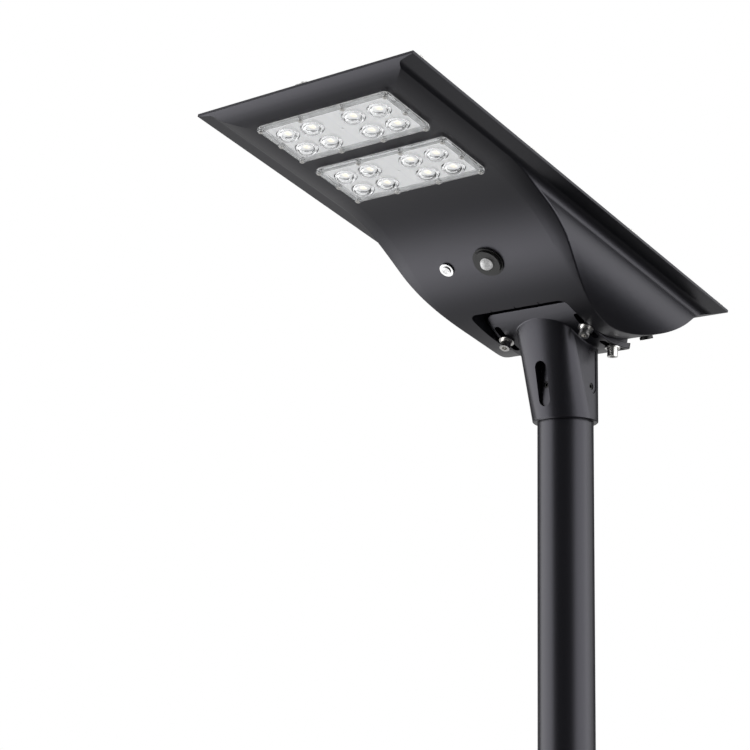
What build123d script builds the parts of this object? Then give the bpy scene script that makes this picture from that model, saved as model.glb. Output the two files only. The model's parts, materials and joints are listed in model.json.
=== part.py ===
"""Solar street lamp: one-piece head with a solar panel, two LED lens modules, battery and
charge controller, on a slotted tilt bracket that turns on the top of a round pole.

Row frame, in mm: origin at the centre of the pole section's lower end, +Z up, lamp front
towards -Y. The head is drawn level in its own frame and then tilted. There, x runs across
the head, y runs back from its front edge, and z is height above the plane of its rim.
"""

from build123d import *
from math import asin, cos, degrees, hypot, radians, sin, sqrt, tan
import os

# Pole and bracket
POLE_RADIUS = 31.75
POLE_WALL = 3.0
COLLAR_Z = 390.0
COLLAR_RADIUS = 37.0
POLE_INSERT = 75.0
RUNNING_GAP = 0.07
FRONT_LEAN = 0.213
GRUB_Z = 428.5
GRUB_RADIUS = 4.0

# Tilt joint: the flange and its seat are cylinders about this axis
HINGE_Y = 19.5
HINGE_Z = 610.0
HINGE_BACK = 471.0
HINGE_HIGH = 60.0
TILT = 13.5
TILT_UP = 8.0
TILT_DOWN = 8.0
FLANGE_OUTER = 136.0
FLANGE_INNER = 129.5
FLANGE_WIDTH = 125.0
FLANGE_FRONT = 28.7
FLANGE_REAR = 25.0
FLANGE_CORNER = 12.0
SEAT_RADIUS = 129.2
PAD_REAR = 514.0
BOLT_ANGLE = 11.5
BOLT_X = 54.5
BOLT_RADIUS = 3.97
SLOT_WIDTH = 8.3
POCKET_FRONT = 383.0
POCKET_X = 65.0

# Head
HEAD_WIDTH = 287.0
HEAD_LENGTH = 588.0
LIP = 3.0
WALL = 3.0
DECK = 10.5
BELLY = 75.8
BELLY_Y = 444.0
S_SLOPE = 28.5
S_RADIUS = 262.0
TAIL_RADIUS = 143.0
TAIL_SLOPE = 50.0
SIDE_X = 118.0
RIM_SLOPE = 5.0
COVE_RADIUS = 10.0
FRONT_COVE = 33.0
SIDE_END = -18.0
BELLY_CORNER_X = 60.0
BELLY_CORNER_Z = 65.0
SHOULDER_X = 96.0
SHOULDER_RADIUS = 95.0
SHOULDER_REACH = 30.0
SHOULDER_TAIL = 25.0
CREASE_RADIUS = 2.0
REBATE = 1.8

# Panel
PANEL_X = 134.0
PANEL_MARGIN = 9.5
CELL_COLUMNS = 4
CELL_ROWS = 9
CLIP_ROWS = (15.0, 200.0, 386.0, 571.0)

# LED modules, placed by the middle of each
MODULE_Y = {"front": 68.0, "rear": 160.2}
MODULE_LENGTH = 173.0
MODULE_WIDTH = 71.4
LED_X = (-61.0, -27.5, 27.5, 61.0)
LED_Y = (-14.6, 14.6)
LENS_BOTTOM = -14.6
LENS_INNER = -13.2

# Sensor and button, on the slope between deck and belly
SLOPE_Y = 316.0
SENSOR_X = 7.5
BUTTON_X = -49.5

# Battery: cells of the 32650 size, lying across the head
CELL_RADIUS = 16.1
CELL_LENGTH = 69.5
BATTERY_Y = 343.0
BATTERY_Z = -22.5
BATTERY_PITCH = 33.0
BATTERY_COLUMNS = (-71.0, 0.0, 71.0)
CRADLE_X = (-88.5, -35.5, 35.5, 88.5)

# Charge controller and breather
CONTROLLER_Z = -31.0
CONTROLLER_POSTS = ((-60.0, 496.0), (60.0, 496.0), (-60.0, 530.0), (60.0, 530.0))
VENT_X = 84.0
VENT_Y = 518.0


def tilt(shape):
    """Places a shape drawn in the level head frame where the tilted head holds it."""
    level = Pos(0, -HINGE_BACK, -HINGE_HIGH)
    return Pos(0, HINGE_Y, HINGE_Z) * Rot(-TILT, 0, 0) * level * shape


def save(name, *solids):
    """Writes one node, as one solid or as a group of separate ones."""
    shape = solids[0] if len(solids) == 1 else Compound(children=list(solids))
    export_step(shape, f"parts/{name}.step")


def save_head(name, *solids):
    """Writes a node of the head, from solids drawn level."""
    save(name, *[tilt(solid) for solid in solids])


def block(x0, x1, y0, y1, z0, z1):
    """Box between two corners."""
    middle = Pos((x0 + x1) / 2, (y0 + y1) / 2, (z0 + z1) / 2)
    return middle * Box(x1 - x0, y1 - y0, z1 - z0)


def rod(radius, length, x=0.0, y=0.0, z=0.0):
    """Upright cylinder with its lower end at the given point."""
    return Pos(x, y, z) * Cylinder(radius, length, align=(Align.CENTER, Align.CENTER, Align.MIN))


def across(radius, length, y, z, x=0.0):
    """Cylinder about an axis along X, centred on x."""
    return Pos(x, y, z) * Rot(0, 90, 0) * Cylinder(radius, length)


def arc(centre, radius, start, end):
    """Arc from angle start to angle end, in degrees from the first axis of its plane."""
    steps = (start, (start + end) / 2, end)
    points = [
        (centre[0] + radius * cos(radians(a)), centre[1] + radius * sin(radians(a)))
        for a in steps
    ]
    return ThreePointArc(*points)


def quarter_oval(centre, half_width, half_height, start):
    """Quarter of an ellipse, anticlockwise from angle start."""
    return EllipticalCenterArc(centre, half_width, half_height, start, arc_size=90)


def outline(*edges):
    """Face inside a closed run of edges."""
    return make_face(Wire(list(edges)))


def along_x(face, half_width):
    """Solid of a face drawn in the Y-Z plane, as thick on both sides."""
    return extrude(Plane.YZ * face, amount=half_width, both=True)


def slab(length, width, corner, x, y, z0, z1):
    """Plate with rounded corners, long side across the head."""
    face = Pos(x, y, z0) * RectangleRounded(length, width, corner)
    return extrude(face, amount=z1 - z0)


# ---------------------------------------------------------------- head shell


def s_curve(inset):
    """Centres, radii and points of the underside, moved inwards by inset."""
    slope = radians(S_SLOPE)
    belly_radius = (BELLY - DECK) / (1 - cos(slope)) - S_RADIUS
    deck_end = BELLY_Y - (S_RADIUS + belly_radius) * sin(slope)
    hollow = (deck_end, -DECK - S_RADIUS)
    belly = (BELLY_Y, belly_radius - BELLY)
    tail = (BELLY_Y, TAIL_RADIUS - BELLY)
    arcs = [
        arc(hollow, S_RADIUS + inset, 90, 90 - S_SLOPE),
        arc(belly, belly_radius - inset, -90 - S_SLOPE, -90),
        arc(tail, TAIL_RADIUS - inset, -90, -90 + TAIL_SLOPE),
    ]
    return arcs, (deck_end, -DECK + inset)


def side_profile():
    """Outside of the head seen from its side."""
    arcs, deck_end = s_curve(0)
    tail_end = arcs[-1] @ 1
    lip_front = (0, -LIP)
    lip_rear = (HEAD_LENGTH, -LIP)
    deck_start = (FRONT_COVE, -DECK)
    return outline(
        Line((0, 0), lip_front),
        TangentArc(deck_start, lip_front, tangent=(-1, 0)),
        Line(deck_start, deck_end),
        *arcs,
        TangentArc(tail_end, lip_rear, tangent=arcs[-1] % 1),
        Line(lip_rear, (HEAD_LENGTH, 0)),
        Line((HEAD_LENGTH, 0), (0, 0)),
    )


def end_profile():
    """Outside of the head seen from its end: rim, cove, upright side, rounded belly."""
    half = HEAD_WIDTH / 2
    fall = tan(radians(RIM_SLOPE))
    cove_x = SIDE_X + COVE_RADIUS
    cove_z = -LIP - (half - cove_x) * fall - COVE_RADIUS / cos(radians(RIM_SLOPE))
    cove = arc((cove_x, cove_z), COVE_RADIUS, 90 + RIM_SLOPE, 180)
    corner_x = SIDE_X - BELLY_CORNER_X
    bottom = SIDE_END - BELLY_CORNER_Z
    right = [
        Line((0, 0), (half, 0)),
        Line((half, 0), (half, -LIP)),
        Line((half, -LIP), cove @ 0),
        cove,
        Line(cove @ 1, (SIDE_X, SIDE_END)),
        quarter_oval((corner_x, SIDE_END), BELLY_CORNER_X, BELLY_CORNER_Z, -90),
        Line((corner_x, bottom), (0, bottom)),
    ]
    left = [edge.mirror(Plane.YZ) for edge in right]
    return outline(*right, *left)


def cavity(wall):
    """Space inside the head, open at the top, with walls of the given thickness."""
    arcs, deck_end = s_curve(wall)
    tail_end = arcs[-1] @ 1
    side = outline(
        Line((34, 0), (34, -6.5)),
        Line((34, -6.5), (45, -DECK + wall)),
        Line((45, -DECK + wall), deck_end),
        *arcs,
        Line(tail_end, (tail_end.X, 0)),
        Line((tail_end.X, 0), (34, 0)),
    )
    half = SIDE_X - wall
    corner_x = SIDE_X - BELLY_CORNER_X
    across_corner = BELLY_CORNER_X - wall
    down_corner = BELLY_CORNER_Z - wall
    end = outline(
        Line((-half, 0), (half, 0)),
        Line((half, 0), (half, SIDE_END)),
        quarter_oval((corner_x, SIDE_END), across_corner, down_corner, -90),
        Line((corner_x, SIDE_END - down_corner), (-corner_x, SIDE_END - down_corner)),
        quarter_oval((-corner_x, SIDE_END), across_corner, down_corner, 180),
        Line((-half, SIDE_END), (-half, 0)),
    )
    long_space = along_x(side, HEAD_WIDTH / 2)
    return long_space & extrude(Plane.XZ * end, amount=-HEAD_LENGTH)


def inside(wall):
    """Free space inside the head, above the walls of the flange's pocket."""
    space = cavity(wall) - flange_pocket(wall)
    for side in (-1, 1):
        space -= Pos(0, 0, wall) * shoulder_cutter(side)
    return space


def flange_pocket(wall):
    """Recess in the belly that the bracket's flange swings in, with the metal round it."""
    front = POCKET_FRONT - wall
    half_width = POCKET_X + wall
    bend = -46 + 0.36 * wall
    rise = 21.0
    plan = Pos(0, front + 120, -120) * RectangleRounded(2 * half_width, 240, 10)
    side = Polyline(
        (front, -120), (front, bend), (front + 0.825 * rise, bend + rise),
        (545, bend + rise), (545, -120), (front, -120),
    )
    space = extrude(plan, amount=100) & along_x(outline(*side.edges()), half_width)
    roof = SEAT_RADIUS - 1.5 * wall
    return space - across(roof, 2 * half_width + 20, HINGE_BACK, HINGE_HIGH)


def shoulder_cutter(side):
    """Takes the flat underside gently upwards towards its edge, on side 1 or -1."""
    arcs, deck_end = s_curve(0)
    tail = arcs[-1].trim(0, SHOULDER_TAIL / TAIL_SLOPE)
    run_out = Line(tail @ 1, (tail @ 1) + (tail % 1) * 45)
    path = Wire([Line((0, -DECK), deck_end), *arcs[:-1], tail, run_out])
    path = Pos(side * SHOULDER_X, 0, 0) * (Plane.YZ * path)
    drop = SHOULDER_REACH**2 / (2 * SHOULDER_RADIUS)
    top = ThreePointArc((0, 0), (SHOULDER_REACH / 2, drop / 4), (SHOULDER_REACH, drop))
    wedge = outline(
        top,
        Line((SHOULDER_REACH, drop), (SHOULDER_REACH, -4)),
        Line((SHOULDER_REACH, -4), (0, -4)),
        Line((0, -4), (0, 0)),
    )
    start = Plane(origin=path @ 0, x_dir=(side, 0, 0), z_dir=(0, -side, 0))
    return sweep(start * wedge, path=path)


def bolt_frames():
    """The four tilt bolt axes: +Z of each runs out of the head, from the hinge axis."""
    frames = []
    for x in (-BOLT_X, BOLT_X):
        for angle in (-BOLT_ANGLE, BOLT_ANGLE):
            frames.append(Pos(x, HINGE_BACK, HINGE_HIGH) * Rot(angle, 0, 0) * Rot(180, 0, 0))
    return frames


def belly_frame(x, y=SLOPE_Y):
    """Frame on the rounded belly at x, y, with +Z out of the head."""
    front_radius = (BELLY - DECK) / (1 - cos(radians(S_SLOPE))) - S_RADIUS
    radius = front_radius if y < BELLY_Y else TAIL_RADIUS
    ahead = BELLY_Y - y
    z = radius - BELLY - sqrt(radius**2 - ahead**2)
    return Pos(x, y, z) * Rot(180 - degrees(asin(ahead / radius)), 0, 0)


def module_screws(middle_y):
    """Places of one module's ten lens screws: corners, two on each long side, two ends."""
    places = [(x, y) for x in (-83.0, 83.0) for y in (-32.3, 32.3)]
    places += [(x, y) for x in (-28.0, 28.0) for y in (-32.3, 32.3)]
    places += [(-83.0, 0.0), (83.0, 0.0)]
    return [(x, middle_y + y) for x, y in places]


def clip_places():
    """Each clip's turn about Z and the middle of the rim edge that it stands on."""
    places = []
    for y in CLIP_ROWS:
        places.append((0, HEAD_WIDTH / 2, y))
        places.append((180, -HEAD_WIDTH / 2, y))
    places.append((-90, 0, 0))
    places.append((90, 0, HEAD_LENGTH))
    return [Pos(x, y, 0) * Rot(0, 0, turn) for turn, x, y in places]


def head_form():
    """Outer form of the head, solid."""
    form = along_x(side_profile(), HEAD_WIDTH / 2)
    form &= extrude(Plane.XZ * end_profile(), amount=-HEAD_LENGTH)
    for side in (-1, 1):
        form -= shoulder_cutter(side)
    creases = []
    for edge in form.edges():
        middle = edge @ 0.5
        outer = abs(middle.X) > 84 and abs((edge % 0.5).X) < 0.9
        upright = edge.geom_type == GeomType.LINE
        seam = abs(abs((edge @ 0).X) - abs((edge @ 1).X)) < 0.01
        if outer and not upright and not seam and 186 < middle.Y < 445 and middle.Z < -7.1:
            creases.append(edge)
    return fillet(creases, CREASE_RADIUS)


def housing():
    """Die-cast head shell with its seats, bosses and holes."""
    outside = head_form()
    pad = across(SEAT_RADIUS, FLANGE_WIDTH, HINGE_BACK, HINGE_HIGH)
    pad &= block(-FLANGE_WIDTH / 2, FLANGE_WIDTH / 2, 440, PAD_REAR, -90, -20)
    shell = outside + pad
    shell -= flange_pocket(0)
    for x in (-32, 0, 32):
        shell -= belly_frame(x, POCKET_FRONT - 1) * Box(1.2, 3.6, 1.6)
    shell -= inside(WALL)
    for frame in bolt_frames():
        shell += frame * rod(9, 20, z=108)
    shell -= block(-135, 135, 8.5, HEAD_LENGTH - 8.5, -REBATE, 1)
    shell -= block(-88, 88, 180, 197.6, -12, -DECK)
    for middle in MODULE_Y.values():
        shell -= rod(6, 8, y=middle, z=-14)
        for x, y in module_screws(middle):
            shell -= rod(1.45, 2.4, x, y, -DECK)
    for place in clip_places():
        shell -= place * rod(1.45, 2.5, -4, 0, -2.5)
    sensor = belly_frame(SENSOR_X)
    button = belly_frame(BUTTON_X)
    shell -= sensor * rod(10.1, 20, z=-12)
    shell -= button * rod(6.1, 20, z=-12)
    for x, y in CONTROLLER_POSTS:
        shell += rod(4.5, 20, x, y, CONTROLLER_Z - 20) & along_x(side_profile(), 100)
        shell -= rod(1.45, 9, x, y, CONTROLLER_Z - 9)
    for frame in bolt_frames():
        shell -= frame * rod(BOLT_RADIUS + 0.03, 24, z=110)
    shell -= belly_frame(VENT_X, VENT_Y) * rod(4.05, 20, z=-12)
    return shell


# ---------------------------------------------------------------- solar panel


def panel_parts():
    """Foam tape, backsheet, cells and glass of the solar panel."""
    front = PANEL_MARGIN
    rear = HEAD_LENGTH - PANEL_MARGIN
    tape = block(-PANEL_X, PANEL_X, front, rear, -REBATE, -1.0)
    tape -= block(-PANEL_X + 10, PANEL_X - 10, front + 10, rear - 10, -3, 1)
    backsheet = block(-PANEL_X, PANEL_X, front, rear, -1.0, -0.5)
    glass = extrude(
        Pos(0, (front + rear) / 2, 0) * RectangleRounded(2 * PANEL_X, rear - front, 1.5),
        amount=2.8,
    )
    pitch_x = 65.0
    pitch_y = 62.0
    cells = []
    for row in range(CELL_ROWS):
        for column in range(CELL_COLUMNS):
            x = (column - (CELL_COLUMNS - 1) / 2) * pitch_x
            y = HEAD_LENGTH / 2 + (row - (CELL_ROWS - 1) / 2) * pitch_y
            cells.append(block(x - 31.3, x + 31.3, y - 29.8, y + 29.8, -0.5, -0.1))
    save_head("panel_tape", tape)
    save_head("panel_backsheet", backsheet)
    save_head("solar_cells", *cells)
    save_head("panel_glass", glass)


def clip_parts():
    """Clips that hold the panel's edge down on the rim, and their screws."""
    profile = Polyline(
        (-0.8, 0), (-0.8, 1.5), (-6.6, 1.5), (-6.6, 4.2), (-14, 4.2), (-14, 2.9),
        (-8.2, 2.9), (-8.2, 0), (-0.8, 0),
    )
    clip = extrude(Plane.XZ * outline(*profile.edges()), amount=8, both=True)
    clip -= rod(1.6, 4, -4, 0, -1)
    screw = rod(1.4, 4.2, -4, 0, -2.4) + rod(2.5, 1.8, -4, 0, 1.5)
    screw -= block(-5.6, -2.4, -0.4, 0.4, 2.6, 4)
    screw -= block(-4.4, -3.6, -1.6, 1.6, 2.6, 4)
    save_head("panel_clips", *[place * clip for place in clip_places()])
    save_head("panel_clip_screws", *[place * screw for place in clip_places()])


def junction_box_parts():
    """Potted box on the back of the panel, with its lid."""
    base = block(-32, 32, 252, 302, -2.2, -1.0) + block(-30, 30, 254, 300, -10, -2.2)
    base -= block(-28, 28, 256, 298, -11, -3.2)
    base -= Pos(0, 302, -6.4) * Rot(90, 0, 0) * Cylinder(2.15, 12)
    lid = block(-30, 30, 254, 300, -11.4, -10) + block(-27.8, 27.8, 256.2, 297.8, -10, -8.8)
    save_head("junction_box", base)
    save_head("junction_box_lid", lid)


# ---------------------------------------------------------------- LED modules


def module_parts(name, middle):
    """Board, chips, gasket, lens plate and screws of one LED module."""
    outer = slab(172.4, 70.8, 5, 0, middle, -12.0, -DECK)
    gasket = outer - slab(160, 60.5, 4, 0, middle, -13, -9)
    board = slab(158, 58.6, 3, 0, middle, -12.0, -DECK)
    board -= rod(1.6, 6, 0, middle, -14)
    chips = []
    domes = []
    for x in LED_X:
        for y in LED_Y:
            chips.append(block(x - 2.5, x + 2.5, middle + y - 2.5, middle + y + 2.5, -12.8, -12.0))
            domes.append(Pos(x, middle + y, LENS_INNER))
    plate = slab(MODULE_LENGTH, MODULE_WIDTH, 6, 0, middle, LENS_BOTTOM, -12.0)
    plate -= slab(161, 61.5, 4, 0, middle, LENS_INNER, -11)
    outer_dome = scale(Sphere(1), (14.0, 11.2, 8.6)) & block(-15, 15, -12, 12, -9, 0)
    inner_dome = scale(Sphere(1), (8.6, 6.4, 4.8))
    for dome in domes:
        plate += dome * outer_dome
        plate -= dome * inner_dome
    screws = []
    for x, y in module_screws(middle):
        gasket -= rod(1.6, 6, x, y, -14)
        plate += rod(3.9, -12.0 - LENS_BOTTOM + 0.6, x, y, LENS_BOTTOM - 0.6)
        plate -= rod(1.6, 8, x, y, -19)
        head = rod(2.4, 1.6, x, y, LENS_BOTTOM - 2.2) - rod(1.0, 0.9, x, y, LENS_BOTTOM - 2.3)
        screws.append(head + rod(1.35, 6.4, x, y, LENS_BOTTOM - 0.7))
    socket = block(-4.2, 4.2, middle - 3.6, middle + 3.6, -DECK, -3.2)
    save_head(f"led_socket_{name}", socket - block(-3.4, 3.4, middle + 1.2, middle + 4, -6.6, -3.9))
    save_head(f"led_board_{name}", board)
    save_head(f"led_chips_{name}", *chips)
    save_head(f"lens_gasket_{name}", gasket)
    save_head(f"lens_plate_{name}", plate)
    save_head(f"lens_screws_{name}", *screws)


# ---------------------------------------------------------------- sensor and button


def sensor_parts():
    """Motion sensor: bezel through the wall, dome, sealing ring, board and nut."""
    frame = belly_frame(SENSOR_X)
    bezel = rod(18, 1.6, z=0.4) + rod(15.8, 4.6, z=0.4) + rod(10, 14, z=-13.6)
    bezel -= rod(7.6, 30, z=-20)
    dome = Sphere(7.4) & block(-9, 9, -9, 9, 0, 9)
    dome -= Sphere(6.2) & block(-9, 9, -9, 9, -1, 9)
    dome = Pos(0, 0, 4.2) * (dome + rod(7.4, 2.4, z=-2.4) - rod(6.2, 6, z=-4))
    ring = rod(13.2, 0.4) - rod(10.15, 2, z=-1)
    board = rod(6.6, 1.6, z=-2.0) + rod(4.6, 3.2, z=-0.4)
    nut = extrude(RegularPolygon(14, 6), amount=3) - rod(10.05, 9, z=-1)
    save_head("sensor_bezel", frame * bezel)
    save_head("sensor_lens", frame * dome)
    save_head("sensor_ring", frame * ring)
    save_head("sensor_board", frame * board)
    save_head("sensor_nut", frame * Pos(0, 0, -7.2) * nut)


def button_parts():
    """Push switch: bush through the wall, cap that travels, spring, base and nut."""
    frame = belly_frame(BUTTON_X)
    bush = rod(8.2, 1.8, z=0.3) + rod(6.0, 12, z=-11.7)
    bush -= rod(5.0, 30, z=-9.7)
    bush -= rod(2.0, 10, z=-14)
    ring = rod(7.8, 0.3) - rod(6.1, 2, z=-1)
    cap = rod(4.95, 8.0, z=-4.4) - rod(4.0, 4.4, z=-5.0) + rod(1.3, 4.6, z=-5.0)
    cap -= rod(3.7, 1, z=3.2) - rod(3.1, 3, z=2)
    cap -= rod(1.8, 1, z=3.2) - rod(1.3, 3, z=2)
    base = rod(6.0, 3.2, z=-15.2) - rod(1.2, 9, z=-13.4)
    spring = rod(3.6, 8.6, z=-9.6) - rod(2.9, 20, z=-12)
    nut = extrude(RegularPolygon(9.2, 6), amount=2.6) - rod(6.05, 9, z=-1)
    save_head("button_bush", frame * bush)
    save_head("button_ring", frame * ring)
    save_head("button_cap", frame * cap)
    save_head("button_spring", frame * spring)
    save_head("button_base", frame * base)
    save_head("button_nut", frame * Pos(0, 0, -6.6) * nut)


# ---------------------------------------------------------------- power


def battery_parts():
    """Twelve cells in four rows, their links, cradles and clamps, and the protection board."""
    rows = [BATTERY_Y + i * BATTERY_PITCH for i in range(4)]
    cells = []
    for y in rows:
        for x in BATTERY_COLUMNS:
            cell = across(CELL_RADIUS, CELL_LENGTH - 1.2, y, BATTERY_Z, x)
            cells.append(cell + across(4.0, CELL_LENGTH, y, BATTERY_Z, x))
    links = []
    for x in (-106.3, -35.5, 35.5, 106.3):
        half = 0.5 if abs(x) < 100 else 0.3
        for y in (rows[0], rows[2]):
            z = BATTERY_Z + 0.2
            links.append(block(x - half, x + half, y - 4, y + BATTERY_PITCH + 4, z, z + 7))
    cradles = []
    for x in CRADLE_X:
        cradle = block(x - 4, x + 4, rows[0] - 24, rows[-1] + 24, -80, BATTERY_Z)
        for y in rows:
            cradle -= across(CELL_RADIUS + 0.1, 20, y, BATTERY_Z, x)
        cradles += (cradle & inside(WALL + 0.2)).solids()
    front = rows[0] - CELL_RADIUS
    rear = rows[-1] + CELL_RADIUS
    top = BATTERY_Z + CELL_RADIUS
    bend = Polyline(
        (front - 7.5, BATTERY_Z), (front - 0.4, BATTERY_Z), (front - 0.4, top + 0.1),
        (rear + 0.4, top + 0.1), (rear + 0.4, BATTERY_Z), (rear + 7.5, BATTERY_Z),
        (rear + 7.5, BATTERY_Z + 1.2), (rear + 1.6, BATTERY_Z + 1.2), (rear + 1.6, top + 1.3),
        (front - 1.6, top + 1.3), (front - 1.6, BATTERY_Z + 1.2),
        (front - 7.5, BATTERY_Z + 1.2), (front - 7.5, BATTERY_Z),
    )
    clamps = []
    screws = []
    for x in (CRADLE_X[0], CRADLE_X[-1]):
        clamp = Pos(x, 0, 0) * along_x(outline(*bend.edges()), 4)
        for y in (front - 4.6, rear + 4.6):
            clamp -= rod(1.6, 5, x, y, BATTERY_Z - 2)
            cradles = [cradle - rod(1.45, 8, x, y, BATTERY_Z - 8) for cradle in cradles]
            screw = rod(1.4, 8.2, x, y, BATTERY_Z - 7) + rod(2.5, 1.8, x, y, BATTERY_Z + 1.2)
            screws.append(screw - block(x - 1.6, x + 1.6, y - 0.4, y + 0.4, BATTERY_Z + 2.2, 0))
        clamps.append(clamp)
    save_head("battery_cells", *cells)
    save_head("battery_links", *links)
    save_head("battery_cradles", *cradles)
    save_head("battery_clamps", *clamps)
    save_head("battery_clamp_screws", *screws)
    board_y = rear + 1.0
    board = block(-31, 31, board_y, board_y + 1.6, BATTERY_Z - 13, BATTERY_Z + 13)
    for x in (-24, -12, 0, 12, 24):
        board += block(x - 3, x + 3, board_y + 1.6, board_y + 4.0, BATTERY_Z - 9, BATTERY_Z)
    save_head("protection_board", board)


def controller_parts():
    """Charge controller on its posts: case, lid, terminals and screws; and the breather."""
    low = CONTROLLER_Z
    case = block(-54, 54, 490, 536, low, -8) - block(-52, 52, 492, 534, low + 2, -7)
    case += block(-66, 66, 490, 536, low, low + 2)
    case -= block(-50, 50, 489, 493, -22, -12)
    lid = block(-54, 54, 490, 536, -8, -6.4) + block(-51.8, 51.8, 492.2, 533.8, -9.5, -8)
    terminals = block(-49.5, 49.5, 486, 500, -21.5, -12.5)
    board = block(-51, 51, 500.5, 533, low + 6, low + 7.6)
    board += block(-30, 0, 506, 526, low + 7.6, -11) + rod(8, 11, 28, 516, low + 7.6)
    screws = []
    for x, y in CONTROLLER_POSTS:
        case -= rod(1.6, 9, x, y, low - 3)
        screw = rod(1.4, 9, x, y, low - 7) + rod(2.7, 1.8, x, y, low + 2)
        screws.append(screw - block(x - 1.8, x + 1.8, y - 0.4, y + 0.4, low + 3, low + 6))
    for x in range(-40, 50, 10):
        terminals -= Pos(x, 0, 0) * block(-2.8, 2.8, 480, 491, -19.8, -13.9)
        terminals -= rod(2.2, 5, x, 494.5, -15)
    save_head("controller_case", case)
    save_head("controller_lid", lid)
    save_head("controller_terminals", terminals)
    save_head("controller_board", board)
    save_head("controller_screws", *screws)
    vent = rod(7.5, 3.2, z=0.5) + rod(4.0, 9, z=-8.4)
    vent -= rod(2.5, 20, z=-10)
    vent += rod(2.5, 1.0, z=-1)
    for turn in range(6):
        vent -= Rot(0, 0, 60 * turn) * block(5, 8, -1, 1, 2.6, 5)
    seal = rod(6.6, 0.5) - rod(4.05, 2, z=-1)
    frame = belly_frame(VENT_X, VENT_Y)
    save_head("vent_plug", frame * vent)
    save_head("vent_seal", frame * seal)


def lead(name, diameter, points):
    """Cable along straight runs joined by tangent arcs; prints its radii, length and volume."""
    points = [Vector(*point) for point in points]
    radii = []
    for before, corner, after in zip(points, points[1:], points[2:]):
        first = corner - before
        second = after - corner
        half_turn = radians(first.get_angle(second)) / 2
        radii.append(0.45 * min(first.length, second.length) / tan(half_turn))
    path = FilletPolyline(*points, radius=radii)
    section = Plane(origin=path @ 0, z_dir=path % 0) * Circle(diameter / 2)
    cable = sweep(section, path=path)
    share = cable.volume / (section.face().area * path.length)
    print(name, "radii", [round(r) for r in radii], "length", round(path.length), round(share, 4))
    save_head(name, cable)


def lead_parts():
    """Leads held inside the head, from the terminals to what each one feeds."""
    over = BATTERY_Z + CELL_RADIUS + 3.2
    lead("panel_lead", 3.6, [
        (0, 303, -6.4), (1, 320, -5.6), (4, 345, over), (9, 385, over + 0.1),
        (11, 425, over), (10, 455, over - 1), (8, 474, -11), (10, 488, -16.9),
    ])
    lead("rear_module_lead", 2.6, [
        (0, 166, -5.2), (-1, 180, -5.0), (-8, 205, -4.6), (-26, 235, -4.6), (-38, 270, -4.6),
        (-37, 310, -4.4), (-32, 350, over), (-28, 395, over + 0.1), (-29, 435, over),
        (-31, 459, over - 1), (-32, 475, -11), (-30, 488, -16.9),
    ])
    lead("front_module_lead", 2.6, [
        (0, 74, -5.2), (-1, 88, -5.0), (-10, 110, -4.7), (-22, 140, -4.7), (-28, 175, -4.7),
        (-34, 215, -4.6), (-46, 255, -4.6), (-50, 300, -4.4), (-46, 345, over),
        (-42, 390, over + 0.1), (-40, 432, over), (-41, 459, over - 1), (-42, 475, -11),
        (-40, 488, -16.9),
    ])


def pole_parts():
    """Top section of the round pole, open at its lower end."""
    length = COLLAR_Z + POLE_INSERT - 0.2
    save("pole_tube", rod(POLE_RADIUS, length) - rod(POLE_RADIUS - POLE_WALL, length + 2, z=-1))


# ---------------------------------------------------------------- bracket


def hinge_sector(inner, outer, half_width, start, end, x=0.0):
    """Piece of a ring about the hinge; angles are forward of straight down."""
    middle = (HINGE_Y, HINGE_Z)
    a0 = -90 - start
    a1 = -90 - end
    out = arc(middle, outer, a0, a1)
    back = arc(middle, inner, a1, a0)
    face = outline(out, Line(out @ 1, back @ 0), back, Line(back @ 1, out @ 0))
    return Pos(x, 0, 0) * along_x(face, half_width)


def hinge_ray(x, angle):
    """Frame on the hinge axis at x, with +Z pointing down and forward by angle."""
    return Pos(x, HINGE_Y, HINGE_Z) * Rot(-angle, 0, 0) * Rot(180, 0, 0)


def spigot():
    """Casting under the flange: a round collar whose front leans forward towards the top."""
    top = 510.0
    lean = COLLAR_RADIUS + FRONT_LEAN * (top - COLLAR_Z)
    front_radius = 70.0
    nose_radius = 13.0
    nose_x = 23.5
    side = -2.0
    between_centres = front_radius - nose_radius
    front = degrees(asin(nose_x / between_centres)) - 90

    def round_point(angle, z):
        return (COLLAR_RADIUS * cos(radians(angle)), COLLAR_RADIUS * sin(radians(angle)), z)

    def nose_point(angle):
        x = nose_x + nose_radius * cos(radians(angle))
        y = front_radius - lean - sqrt(between_centres**2 - nose_x**2) + nose_radius * sin(radians(angle))
        return (x, y, top)

    def flip(point):
        return (-point[0], point[1], point[2])

    def section(points, middles):
        """Closed run of six edges, from the right side round the back to the front."""
        corners = [points[0], flip(points[0]), flip(points[1]), flip(points[2]), *points[:0:-1]]
        edges = []
        for start, middle, end in zip(corners, middles, corners[1:] + corners[:1]):
            edges.append(ThreePointArc(start, middle, end) if middle else Line(start, end))
        return Wire(edges)

    nose_middle = nose_point((side + front) / 2)
    front_middle = (0, -lean, top)
    upper = section(
        [round_point(side, top), nose_point(side), nose_point(front)],
        [round_point(90, top), None, flip(nose_middle), front_middle, nose_middle, None],
    )
    step = round_point(side - 2, COLLAR_Z)
    bend = round_point((side - 4 + front) / 2, COLLAR_Z)
    lower = section(
        [round_point(angle, COLLAR_Z) for angle in (side, side - 4, front)],
        [
            round_point(90, COLLAR_Z), flip(step), flip(bend),
            round_point(-90, COLLAR_Z), bend, step,
        ],
    )
    return Solid.make_loft([lower, upper], ruled=True)


def grub_frames():
    """The four grub screw axes, +X of each pointing out, and how deep each seat is cut."""
    return [
        (Pos(0, 0, GRUB_Z) * Rot(0, 0, turn), 36.6 if turn == -90 else 35.3)
        for turn in (-90, 0, 90, 180)
    ]


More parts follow.
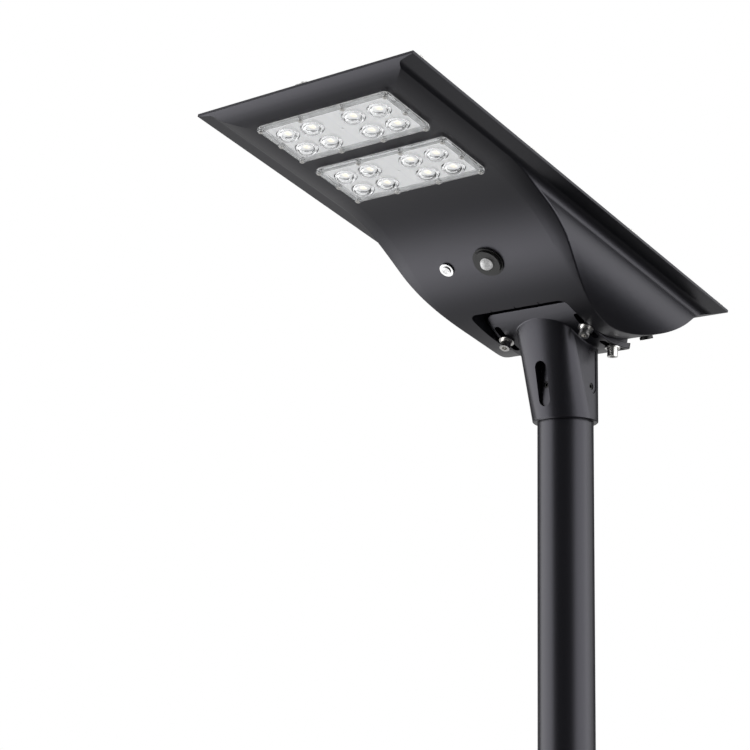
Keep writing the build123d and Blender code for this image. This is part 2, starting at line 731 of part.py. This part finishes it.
def flange_edges(body, root):
    """Edges on the flange's outer face: round the spigot's root, or round the flange."""
    found = []
    for edge in body.edges():
        points = [edge @ share for share in (0.1, 0.5, 0.9)]
        reach = [hypot(point.Y - HINGE_Y, point.Z - HINGE_Z) for point in points]
        at_root = edge.geom_type == GeomType.BSPLINE and abs(points[1].X) < 41
        if max(abs(r - FLANGE_OUTER) for r in reach) < 0.05 and at_root == root:
            found.append(edge)
    return found


def collar_trim():
    """Ring that bevels the collar's lower outer edge."""
    cone = Cone(COLLAR_RADIUS - 1, COLLAR_RADIUS + 0.2, 1.2)
    return rod(60, 1.2, z=COLLAR_Z) - Pos(0, 0, COLLAR_Z + 0.6) * cone


def bracket():
    """Slotted curved flange and spigot, one casting, bored for the pole."""
    flange = across(FLANGE_OUTER, 200, HINGE_Y, HINGE_Z)
    flange -= across(FLANGE_INNER, 220, HINGE_Y, HINGE_Z)
    middle = TILT + (FLANGE_FRONT - FLANGE_REAR) / 2
    span = 2 * FLANGE_OUTER * sin(radians((FLANGE_FRONT + FLANGE_REAR) / 2))
    prism = extrude(RectangleRounded(FLANGE_WIDTH, span, FLANGE_CORNER), amount=200)
    flange &= hinge_ray(0, middle) * prism
    body = spigot() - across((FLANGE_OUTER + FLANGE_INNER) / 2, 220, HINGE_Y, HINGE_Z)
    body += flange
    body = fillet(flange_edges(body, root=True), 1.6)
    body = fillet(flange_edges(body, root=False), 1.2)
    body -= collar_trim()
    travel = (TILT_UP + TILT_DOWN) / 2 + 0.15
    for x in (-BOLT_X, BOLT_X):
        for bolt in (-BOLT_ANGLE, BOLT_ANGLE):
            centre = TILT + (TILT_UP - TILT_DOWN) / 2 + bolt
            body -= hinge_sector(120, 145, SLOT_WIDTH / 2, centre - travel, centre + travel, x)
            for end in (centre - travel, centre + travel):
                body -= hinge_ray(x, end) * rod(SLOT_WIDTH / 2, 25, z=120)
    insert = COLLAR_Z + POLE_INSERT
    body -= rod(POLE_RADIUS + RUNNING_GAP, insert, z=0)
    face = Pos(0, GRUB_Z, 0) * RectangleRounded(15, 50, 7.45)
    front_seat = Pos(0, -36.6, 0) * extrude(Plane.XZ * face, amount=40)
    body -= front_seat
    for frame, seat in grub_frames():
        if seat < 36:
            slot = Pos(0, 0, 20.7) * Box(20, 16.6, 41.4) + Rot(0, 90, 0) * Cylinder(8.3, 20)
            body -= frame * Pos(seat + 10, 0, 0) * slot
        body -= frame * Rot(0, 90, 0) * rod(GRUB_RADIUS, 40, z=25)
    return body


def grub_screws():
    """Hex-socket grub screws that clamp the collar on the pole."""
    screws = []
    for frame, seat in grub_frames():
        start = POLE_RADIUS + 0.3
        length = seat - 1.0 - start
        screw = rod(GRUB_RADIUS - 0.05, length, z=start)
        screw -= Pos(0, 0, start + length - 1.8) * extrude(RegularPolygon(2.3, 6), amount=4)
        screws.append(frame * Rot(0, 90, 0) * screw)
    return screws


def tilt_fasteners():
    """Socket screws, spring washers and flat washers that clamp the head on the flange."""
    flat = FLANGE_OUTER + 0.3
    bolt = rod(BOLT_RADIUS, 30, z=flat - 26.5 + 3.4) + rod(5.95, 7.9, z=flat + 3.4)
    bolt -= Pos(0, 0, flat + 7.2) * extrude(RegularPolygon(3.45, 6), amount=6)
    washer = rod(8.75, 1.7, z=flat) - rod(4.2, 9, z=flat - 3)
    spring = rod(6.6, 1.7, z=flat + 1.7) - rod(4.2, 9, z=flat - 3)
    spring -= Pos(5.4, 0, flat + 2.5) * Rot(25, 0, 0) * Box(5, 0.8, 6)
    frames = bolt_frames()
    save_head("tilt_bolts", *[frame * bolt for frame in frames])
    save_head("tilt_washers", *[frame * washer for frame in frames])
    save_head("tilt_spring_washers", *[frame * spring for frame in frames])


def main():
    os.makedirs("parts", exist_ok=True)
    pole_parts()
    save("bracket", bracket())
    save("grub_screws", *grub_screws())
    save_head("housing", housing())
    tilt_fasteners()
    panel_parts()
    clip_parts()
    junction_box_parts()
    for name, middle in MODULE_Y.items():
        module_parts(name, middle)
    sensor_parts()
    button_parts()
    battery_parts()
    controller_parts()
    lead_parts()


main()
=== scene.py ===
"""Solar street lamp on a pole: materials, studio light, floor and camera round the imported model.

Everything is in metres, in the model's own frame: origin at the centre of the pole's lower end,
+Z up, lamp front towards -Y. The model's shapes all come from the frame."""

import json
from math import cos, radians, sin

import bpy
from mathutils import Matrix, Vector

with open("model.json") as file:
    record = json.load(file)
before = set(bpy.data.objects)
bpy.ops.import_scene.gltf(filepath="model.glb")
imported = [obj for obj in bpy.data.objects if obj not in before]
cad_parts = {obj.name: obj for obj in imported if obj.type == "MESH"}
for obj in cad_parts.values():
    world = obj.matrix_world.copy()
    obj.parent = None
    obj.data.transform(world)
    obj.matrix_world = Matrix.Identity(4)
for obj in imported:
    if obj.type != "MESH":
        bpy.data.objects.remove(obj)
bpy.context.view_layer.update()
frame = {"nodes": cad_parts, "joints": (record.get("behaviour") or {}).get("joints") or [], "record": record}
NODES = frame["nodes"]
MM = 0.001

# The head's own level frame: x across, y back from its front edge, z above the plane of its rim
HINGE = Vector(next(j["pos_m"] for j in frame["joints"] if j["name"] == "head_tilt"))
TILT = radians(13.5)
HINGE_IN_HEAD = Vector((0, 0.471, 0.060))
HEAD = (
    Matrix.Translation(HINGE)
    @ Matrix.Rotation(-TILT, 4, "X")
    @ Matrix.Translation(-HINGE_IN_HEAD)
)

# LEDs in that frame: columns to either side, the modules' middles, rows either side of a middle
LED_COLUMNS = (27.5 * MM, 61 * MM)
MODULE_MIDDLES = (68 * MM, 160.2 * MM)
LED_ROW = 14.6 * MM
# Reach of the painted pool of light round each LED on the board: full, then gone
GLOW_FULL = 2 * MM
GLOW_GONE = 6 * MM
TRACK_PITCH = 16 * MM

# Solar cells: a column of cells is as wide as the pitch, with its busbars evenly across it
CELL_PITCH = 65 * MM
BUSBAR_PITCH = CELL_PITCH / 5
FINGER_PITCH = 1.8 * MM

COAT_DARK = (0.012, 0.012, 0.015)
COAT_LIGHT = (0.017, 0.017, 0.021)


# ---------------------------------------------------------------- node helpers


def add(tree, kind, settings=None, **inputs):
    """Adds a shader node. i0, i1 ... name its inputs by number, other keys by name."""
    node = tree.nodes.new("ShaderNode" + kind)
    for key, value in (settings or {}).items():
        setattr(node, key, value)
    for key, value in inputs.items():
        by_number = key[0] == "i" and key[1:].isdigit()
        socket = node.inputs[int(key[1:]) if by_number else key.replace("_", " ")]
        if isinstance(value, bpy.types.NodeSocket):
            tree.links.new(value, socket)
        else:
            socket.default_value = value
    return node


def calc(tree, operation, first, second=0.0, third=0.0):
    """One Math node's result."""
    node = add(tree, "Math", {"operation": operation}, i0=first, i1=second, i2=third)
    return node.outputs[0]


def ramp(tree, value, span, result=(0.0, 1.0)):
    """Value mapped smoothly from a span to a result range, and held at its ends."""
    inputs = {"i0": value, "i1": span[0], "i2": span[1], "i3": result[0], "i4": result[1]}
    settings = {"interpolation_type": "SMOOTHSTEP"}
    return add(tree, "MapRange", settings, **inputs).outputs[0]


def mix(tree, share, first, second):
    """Colour between two colours."""
    sockets = bpy.types.NodeSocket
    ends = [end if isinstance(end, sockets) else (*end, 1.0) for end in (first, second)]
    node = add(tree, "Mix", {"data_type": "RGBA"}, Factor=share, i6=ends[0], i7=ends[1])
    return node.outputs[2]


def place(tree):
    """Coordinates of the model at rest, in metres."""
    return add(tree, "TexCoord").outputs["Object"]


def level(tree):
    """Coordinates in the head's level frame, in metres: x, y and z."""
    back = HEAD.inverted()
    moved = {"Location": back.to_translation(), "Rotation": back.to_euler()}
    mapping = add(tree, "Mapping", Vector=place(tree), **moved)
    return add(tree, "SeparateXYZ", Vector=mapping.outputs[0]).outputs


def noise(tree, vector, scale, detail):
    """Noise from 0 to 1 with features about 1/scale metres across."""
    inputs = {"Vector": vector, "Scale": scale, "Detail": detail, "Roughness": 0.5}
    return add(tree, "TexNoise", **inputs).outputs[0]


def bump(tree, height, strength, distance):
    """Normal from a height."""
    return add(tree, "Bump", Height=height, Strength=strength, Distance=distance).outputs[0]


def off_lines(tree, value, pitch):
    """Distance of a value from the nearest of many lines, evenly spaced."""
    return calc(tree, "PINGPONG", value, pitch / 2)


def off_nearer(tree, value, places):
    """Distance of a value from the nearer of two places."""
    gaps = [calc(tree, "ABSOLUTE", calc(tree, "SUBTRACT", value, at)) for at in places]
    return calc(tree, "MINIMUM", *gaps)


def darker(colour, share):
    """Colour at a share of its brightness."""
    return [c * share for c in colour]


def material(name, **sockets):
    """New material and its shader; sockets are set directly on the shader."""
    made = bpy.data.materials.new(name)
    made.use_nodes = True
    shader = made.node_tree.nodes["Principled BSDF"]
    for key, value in sockets.items():
        shader.inputs[key.replace("_", " ")].default_value = value
    return made, made.node_tree, shader


def feed(tree, shader, **sockets):
    """Links node results to the shader's sockets."""
    for key, value in sockets.items():
        tree.links.new(value, shader.inputs[key.replace("_", " ")])


# ---------------------------------------------------------------- materials


def powder_coat(name, rough):
    """Satin powder coat: faint mottling and a fine orange-peel surface."""
    made, tree, shader = material(name, IOR=1.5, Specular_Tint=(0.90, 0.885, 1.0, 1))
    at = place(tree)
    mottle = noise(tree, at, scale=9, detail=4)
    grain = noise(tree, at, scale=1500, detail=2)
    peel = noise(tree, at, scale=420, detail=3)
    surface = calc(tree, "MULTIPLY_ADD", grain, 0.4, peel)
    feed(
        tree, shader,
        Base_Color=mix(tree, mottle, COAT_DARK, COAT_LIGHT),
        Roughness=ramp(tree, grain, (0.3, 0.7), (rough - 0.03, rough + 0.03)),
        Normal=bump(tree, surface, strength=0.08, distance=0.02 * MM),
    )
    return made


def steel(name, colour, rough):
    """Bare metal with fine tool marks."""
    made, tree, shader = material(name, Metallic=1.0)
    marks = noise(tree, place(tree), scale=2500, detail=3)
    cloud = noise(tree, place(tree), scale=160, detail=3)
    feed(
        tree, shader,
        Base_Color=mix(tree, cloud, darker(colour, 0.8), colour),
        Roughness=ramp(tree, marks, (0.25, 0.75), (rough * 0.75, rough * 1.35)),
        Normal=bump(tree, marks, strength=0.12, distance=0.02 * MM),
    )
    return made


def matt(name, colour, rough, grain_scale=1800, relief=0.1):
    """Plastic, rubber, foam or black oxide with a fine grain."""
    made, tree, shader = material(name, IOR=1.5)
    grain = noise(tree, place(tree), scale=grain_scale, detail=2)
    cloud = noise(tree, place(tree), scale=45, detail=3)
    feed(
        tree, shader,
        Base_Color=mix(tree, cloud, darker(colour, 0.82), colour),
        Roughness=ramp(tree, grain, (0.3, 0.7), (rough - 0.05, rough + 0.06)),
        Normal=bump(tree, grain, strength=relief, distance=0.03 * MM),
    )
    return made


def clear(name, rough):
    """Clear glass or moulded polycarbonate with slight flow lines."""
    glass = {"Base_Color": (0.97, 0.98, 0.99, 1), "Transmission_Weight": 1.0, "IOR": 1.5}
    made, tree, shader = material(name, **glass)
    flow = noise(tree, place(tree), scale=60, detail=3)
    feed(
        tree, shader,
        Roughness=ramp(tree, flow, (0.3, 0.7), (rough, rough + 0.03)),
        Normal=bump(tree, flow, strength=0.05, distance=0.1 * MM),
    )
    return made


def painted_led_glow(tree):
    """How near a point of the board is to the middle of an LED, from 0 to 1: the mask of the painted pool of
    light round each LED.
    """
    x, y, _ = level(tree)
    column = off_nearer(tree, calc(tree, "ABSOLUTE", x), LED_COLUMNS)
    row = calc(tree, "SUBTRACT", off_nearer(tree, y, MODULE_MIDDLES), LED_ROW)
    squares = calc(tree, "MULTIPLY", column, column)
    reach = calc(tree, "SQRT", calc(tree, "MULTIPLY_ADD", row, row, squares))
    return ramp(tree, reach, (GLOW_FULL, GLOW_GONE), (1.0, 0.0))


def board_white(name):
    """White solder mask with faint copper areas under it, and a painted glow (emission) standing in for its
    own LEDs' light, brighter round each LED.
    """
    made, tree, shader = material(name, Roughness=0.4, Emission_Color=(1.0, 0.98, 0.96, 1))
    x, _, _ = level(tree)
    line = ramp(tree, off_lines(tree, x, TRACK_PITCH), (0.3 * MM, 0.6 * MM))
    cloud = noise(tree, place(tree), scale=90, detail=2)
    shade = calc(tree, "MULTIPLY_ADD", cloud, 0.3, calc(tree, "MULTIPLY", line, 0.7))
    feed(
        tree, shader,
        Base_Color=mix(tree, shade, (0.70, 0.71, 0.72), (0.84, 0.85, 0.86)),
        # Painted light: the board glows everywhere, and more round each LED
        Emission_Strength=calc(tree, "MULTIPLY_ADD", painted_led_glow(tree), 0.3, 0.32),
    )
    return made


def painted_glow_silicone(name):
    """Milky silicone seal with a painted glow: emission that stands in for the LEDs' light carried along the
    plate's edge.
    """
    made, tree, shader = material(name, IOR=1.41, Roughness=0.45, Emission_Color=(1, 1, 1, 1))
    cloud = noise(tree, place(tree), scale=120, detail=3)
    feed(
        tree, shader,
        Base_Color=mix(tree, cloud, (0.45, 0.46, 0.47), (0.58, 0.58, 0.58)),
        # Painted light: emission that glows unevenly along the seal
        Emission_Strength=ramp(tree, cloud, (0.3, 0.7), (0.12, 0.22)),
    )
    return made


def glowing_chip(name):
    """Lit LED: a warm-white phosphor square."""
    made, tree, shader = material(name, Emission_Color=(1.0, 0.92, 0.82, 1), Roughness=0.4)
    cloud = noise(tree, place(tree), scale=600, detail=2)
    feed(
        tree, shader,
        Base_Color=mix(tree, cloud, (0.45, 0.38, 0.20), (0.50, 0.44, 0.28)),
        Emission_Strength=ramp(tree, cloud, (0.2, 0.8), (0.85, 0.95)),
    )
    return made


def milky_dome_painted_glow(name):
    """Milky sensor lens moulded with many small facets, with a painted glow: emission that brightens it,
    stronger in the middle of each facet.
    """
    made, tree, shader = material(name, IOR=1.5, Roughness=0.28, Emission_Color=(1, 1, 1, 1))
    inputs = {"Vector": place(tree), "Scale": 1100.0}
    facets = add(tree, "TexVoronoi", **inputs).outputs["Distance"]
    feed(
        tree, shader,
        Base_Color=mix(tree, facets, (0.85, 0.85, 0.85), (0.45, 0.45, 0.45)),
        # Painted light: the dome glows, more at the facets' middles than at their edges
        Emission_Strength=ramp(tree, facets, (0.0, 0.6), (0.28, 0.10)),
        Normal=bump(tree, facets, strength=0.5, distance=0.15 * MM),
    )
    return made


def solar_cell(name):
    """Dark blue silicon with fine silver fingers and five busbars on each cell."""
    made, tree, shader = material(name, IOR=1.9, Coat_Weight=0.6, Coat_Roughness=0.05)
    x, y, _ = level(tree)
    from_cell_middle = calc(tree, "ADD", x, CELL_PITCH / 2)
    bar = ramp(tree, off_lines(tree, from_cell_middle, BUSBAR_PITCH), (0, 0.8 * MM))
    finger = ramp(tree, off_lines(tree, y, FINGER_PITCH), (0.02 * MM, 0.16 * MM))
    silicon = calc(tree, "MINIMUM", bar, finger)
    cloud = noise(tree, place(tree), scale=20, detail=3)
    blue = mix(tree, cloud, (0.006, 0.010, 0.028), (0.010, 0.017, 0.045))
    feed(
        tree, shader,
        Base_Color=mix(tree, silicon, (0.30, 0.32, 0.36), blue),
        Metallic=ramp(tree, silicon, (0.2, 0.8), (0.7, 0.0)),
        Roughness=ramp(tree, cloud, (0.2, 0.8), (0.22, 0.32)),
    )
    return made


# Each material slot's maker, with the colour, roughness and grain that it takes
LOOKS = {
    "head_coat": (powder_coat, 0.36),
    "bracket_coat": (powder_coat, 0.36),
    "pole_coat": (powder_coat, 0.34),
    "stainless": (steel, (0.80, 0.79, 0.77), 0.3),
    "black_steel": (matt, (0.010, 0.010, 0.010), 0.45),
    "panel_glass": (clear, 0.02),
    "panel_cells": (solar_cell,),
    "backsheet": (matt, (0.75, 0.75, 0.74), 0.5),
    "foam": (matt, (0.03, 0.03, 0.03), 0.8, 500, 0.5),
    "lens": (clear, 0.02),
    "led_board": (board_white,),
    "led_phosphor": (glowing_chip,),
    "gasket": (painted_glow_silicone,),
    "seal": (matt, (0.012, 0.012, 0.012), 0.6),
    "sensor_body": (matt, (0.012, 0.012, 0.012), 0.55),
    "sensor_dome": (milky_dome_painted_glow,),
    "button_metal": (steel, (0.50, 0.50, 0.50), 0.3),
    "inner_plastic": (matt, (0.02, 0.02, 0.021), 0.45),
    "circuit": (matt, (0.02, 0.12, 0.06), 0.35),
    "terminal": (matt, (0.03, 0.25, 0.10), 0.4),
    "battery_wrap": (matt, (0.02, 0.08, 0.30), 0.3),
    "nickel": (steel, (0.70, 0.68, 0.62), 0.3),
    "lead": (matt, (0.012, 0.012, 0.012), 0.5),
}
MATERIALS = {slot: maker(slot, *values) for slot, (maker, *values) in LOOKS.items()}


def dress_nodes():
    """Gives every CAD node the material of its slot."""
    for row in frame["record"]["subparts"]:
        node = NODES[row["node"]]
        node.data.materials.clear()
        node.data.materials.append(MATERIALS[row["material_slot"]])
        for face in node.data.polygons:
            face.material_index = 0


# ---------------------------------------------------------------- studio


# The camera's turn is from the lamp's front towards +X, and its lens is in mm
CAMERA_AT = Vector((1.198, -1.7256, 0.0072))
CAMERA_TURN = radians(40.69)
CAMERA_RISE = radians(11.753)
CAMERA_ROLL = radians(1.0)
CAMERA_LENS = 90.0

TO_CAMERA = Vector((sin(CAMERA_TURN), -cos(CAMERA_TURN), 0))
CAMERA_RIGHT = Vector((cos(CAMERA_TURN), sin(CAMERA_TURN), 0))

# Soft boxes round the lamp: turn and rise in degrees, the half angles at which a box is still
# full and at which it is gone, and its strength
SOFT_BOXES = (
    (-94, -2, 28, 40, 3.8),
    (-108, -42, 11, 27, 4.3),
    (180, -28, 16, 42, 0.72),
    (60, -2, 24, 40, 3.3),
    (100, 8, 14, 28, 1.7),
    (0, 90, 25, 50, 2.4),
)
AMBIENT = 0.08
FLOOR_DROP = 0.5 * MM


def towards(turn, rise):
    """Direction from the lamp: turn degrees to the right of the camera, rise above level."""
    flat = TO_CAMERA * cos(radians(turn)) + CAMERA_RIGHT * sin(radians(turn))
    return flat * cos(radians(rise)) + Vector((0, 0, sin(radians(rise))))


def make_world():
    """Pale studio: white to the camera, soft boxes to everything else."""
    world = bpy.data.worlds.new("studio")
    bpy.context.scene.world = world
    world.use_nodes = True
    tree = world.node_tree
    direction = add(tree, "TexCoord").outputs["Generated"]
    total = AMBIENT
    for turn, rise, full, gone, strength in SOFT_BOXES:
        settings = {"operation": "DOT_PRODUCT"}
        along = add(tree, "VectorMath", settings, i0=direction, i1=towards(turn, rise))
        edge = (cos(radians(gone)), cos(radians(full)))
        box = ramp(tree, along.outputs["Value"], edge, (0, strength))
        total = calc(tree, "ADD", total, box)
    lit = add(tree, "Background", Strength=total)
    white = add(tree, "Background", Color=(1, 1, 1, 1), Strength=1.0)
    seen = add(tree, "LightPath").outputs["Is Camera Ray"]
    both = add(tree, "MixShader", Fac=seen, i1=lit.outputs[0], i2=white.outputs[0])
    tree.links.new(both.outputs[0], tree.nodes["World Output"].inputs["Surface"])


def make_camera():
    """Camera low in front of the lamp, looking up at its underside."""
    forward = -TO_CAMERA * cos(CAMERA_RISE) + Vector((0, 0, sin(CAMERA_RISE)))
    up_level = CAMERA_RIGHT.cross(forward)
    right = CAMERA_RIGHT * cos(CAMERA_ROLL) + up_level * sin(CAMERA_ROLL)
    up = right.cross(forward)
    data = bpy.data.cameras.new("camera")
    data.lens = CAMERA_LENS
    data.sensor_width = 36.0
    camera = bpy.data.objects.new("camera", data)
    bpy.context.scene.collection.objects.link(camera)
    turned = Matrix((right, up, -forward)).transposed().to_4x4()
    camera.matrix_world = Matrix.Translation(CAMERA_AT) @ turned
    bpy.context.scene.camera = camera


def make_floor():
    """Plain pale floor, a hair under the pole's end. Mirror rays and bounced light pass
    through it, so it doesn't shade the lamp's underside."""
    bpy.ops.mesh.primitive_plane_add(size=12, location=(0, 0, -FLOOR_DROP))
    floor = bpy.context.object
    floor.name = "floor"
    made, tree, shader = material("floor", Roughness=0.7)
    cloud = noise(tree, place(tree), scale=3, detail=2)
    feed(tree, shader, Base_Color=mix(tree, cloud, (0.78, 0.78, 0.78), (0.82, 0.82, 0.82)))
    floor.data.materials.append(made)
    floor.visible_glossy = False
    floor.visible_diffuse = False


dress_nodes()
make_world()
make_camera()
make_floor()
bpy.context.scene.view_settings.view_transform = "Standard"
